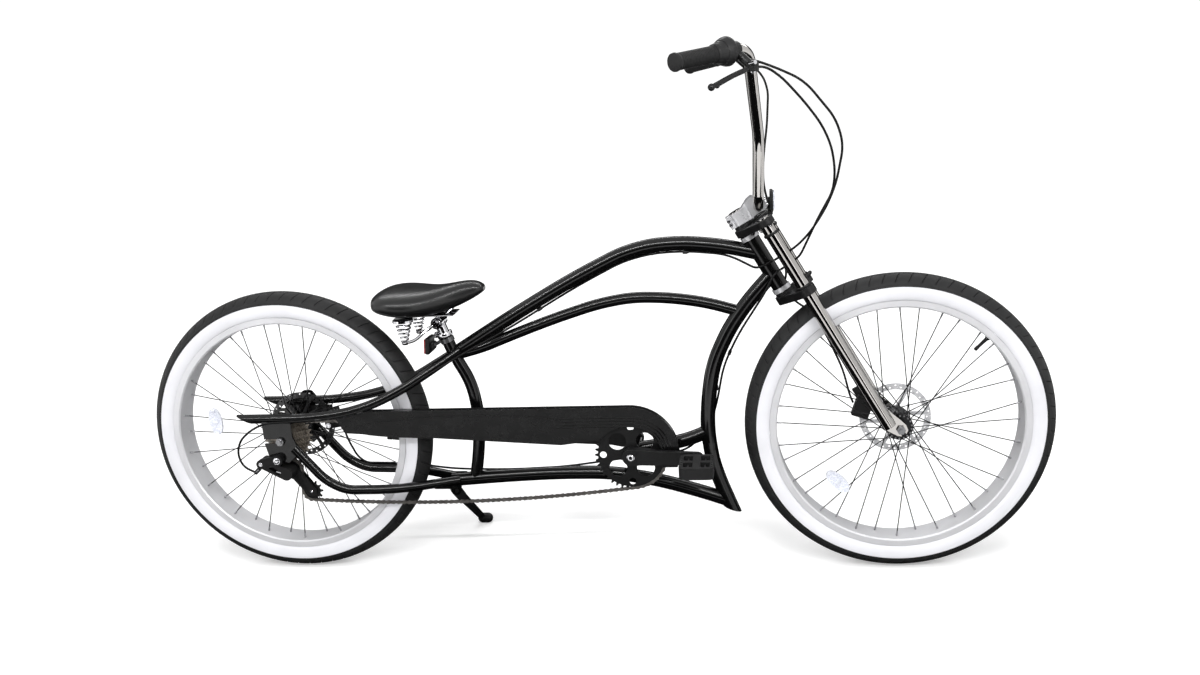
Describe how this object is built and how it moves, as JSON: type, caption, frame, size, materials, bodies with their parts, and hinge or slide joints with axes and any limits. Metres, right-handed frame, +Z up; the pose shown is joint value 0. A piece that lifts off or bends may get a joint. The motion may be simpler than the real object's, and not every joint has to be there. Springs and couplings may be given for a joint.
{
  "type": "chopper cruiser bicycle",
  "caption": "Stretched cruiser bicycle with a raked twin-clamp fork, high handlebar, sprung saddle, chain drive, disc brakes and kickstand, parked leaning on its stand.",
  "frame": {"origin": "on the floor under the middle of the whole outline, with the bicycle leaning on its kickstand", "axes": "+X towards the front wheel, +Y towards the side that the bicycle leans to (the rider's left), +Z up"},
  "size_m": [2.1037, 0.6792, 1.2085],
  "materials": {
    "frame_paint": "gloss black enamel",
    "guard_paint": "satin black enamel",
    "satin_black_metal": "satin black coating",
    "smoked_chrome": "dark smoked chrome",
    "bright_chrome": "bright chrome",
    "silver_alloy": "polished alloy",
    "rim_alloy": "light satin alloy",
    "tyre_rubber": "black rubber with a white sidewall band",
    "dark_spoke": "black oxide",
    "disc_steel": "ground steel",
    "dark_disc_steel": "dark ground steel",
    "axle_steel": "zinc-plated steel",
    "cog_steel": "dark plated steel",
    "chain_steel": "dark oiled steel",
    "saddle_vinyl": "soft black vinyl",
    "grip_rubber": "moulded black rubber",
    "black_plastic": "textured black plastic",
    "clear_reflector": "clear prismatic plastic",
    "red_reflector": "red prismatic plastic",
    "cable_black": "black cable housing"
  },
  "bodies": {
    "frame": {"arch_tube": "frame_paint", "bottom_bracket_shell": "frame_paint", "bottom_bracket_tube": "frame_paint", "bottom_tube": "frame_paint", "chain": "chain_steel", "chain_guard": "guard_paint", "chain_stays": "frame_paint", "down_tube": "frame_paint", "dropouts": "frame_paint", "frame_cables": "cable_black", "head_tube": "frame_paint", "headset_cups": "silver_alloy", "kickstand_bracket": "frame_paint", "rear_axle": "axle_steel", "rear_brake_caliper": "satin_black_metal", "rear_derailleur": "satin_black_metal", "rear_reflector": "red_reflector", "saddle": "saddle_vinyl", "saddle_frame": "bright_chrome", "seat_stay_left": "frame_paint", "seat_stay_right": "frame_paint", "seat_tube": "frame_paint", "seatpost": "bright_chrome", "tail_eyes": "frame_paint", "top_tube": "frame_paint"},
    "steering": {"fork_legs": "smoked_chrome", "lower_clamp": "satin_black_metal", "upper_clamp": "satin_black_metal", "steerer": "smoked_chrome", "stem": "silver_alloy", "handlebar": "smoked_chrome", "grips": "grip_rubber", "twist_shifter": "black_plastic", "brake_levers": "satin_black_metal", "front_reflector": "clear_reflector", "front_brake_caliper": "satin_black_metal", "front_axle": "axle_steel", "control_cables": "cable_black"},
    "front_wheel": {"front_tyre": "tyre_rubber", "front_rim": "rim_alloy", "front_hub_and_spokes": "dark_spoke", "front_brake_rotor": "disc_steel"},
    "rear_wheel": {"rear_tyre": "tyre_rubber", "rear_rim": "rim_alloy", "rear_hub_and_spokes": "dark_spoke", "rear_brake_rotor": "dark_disc_steel", "freewheel": "cog_steel"},
    "cranks": {"chainring": "satin_black_metal", "crank_right": "satin_black_metal", "crank_left": "satin_black_metal", "crank_spindle": "axle_steel"},
    "pedal_right": {"pedal_right": "black_plastic"},
    "pedal_left": {"pedal_left": "black_plastic"},
    "kickstand": {"kickstand": "satin_black_metal"}
  },
  "joints": [
    {"name": "steering", "type": "hinge", "parent": "frame", "child": "steering", "pos_m": [0.42194, -0.05625, 0.70914], "axis": [-0.5, 0.113, 0.8586], "range_deg": [-60, 60]},
    {"name": "front_wheel_spin", "type": "hinge", "parent": "steering", "child": "front_wheel", "pos_m": [0.71, -0.10493, 0.3394], "axis": [0, 0.9914, -0.1305], "continuous": true},
    {"name": "rear_wheel_spin", "type": "hinge", "parent": "frame", "child": "rear_wheel", "pos_m": [-0.71, -0.10493, 0.3394], "axis": [0, 0.9914, -0.1305], "continuous": true},
    {"name": "crank_spin", "type": "hinge", "parent": "frame", "child": "cranks", "pos_m": [0.11, -0.11171, 0.28784], "axis": [0, 0.9914, -0.1305], "continuous": true},
    {"name": "pedal_right_spin", "type": "hinge", "parent": "cranks", "child": "pedal_right", "pos_m": [0.262, -0.25052, 0.30612], "axis": [0, 0.9914, -0.1305], "continuous": true},
    {"name": "pedal_left_spin", "type": "hinge", "parent": "cranks", "child": "pedal_left", "pos_m": [-0.042, 0.02709, 0.26957], "axis": [0, 0.9914, -0.1305], "continuous": true},
    {"name": "kickstand_fold", "type": "hinge", "parent": "frame", "child": "kickstand", "pos_m": [-0.34, -0.07014, 0.15932], "axis": [-0.4384, 0.8911, -0.1173], "range_deg": [0, 112]}
  ]
}
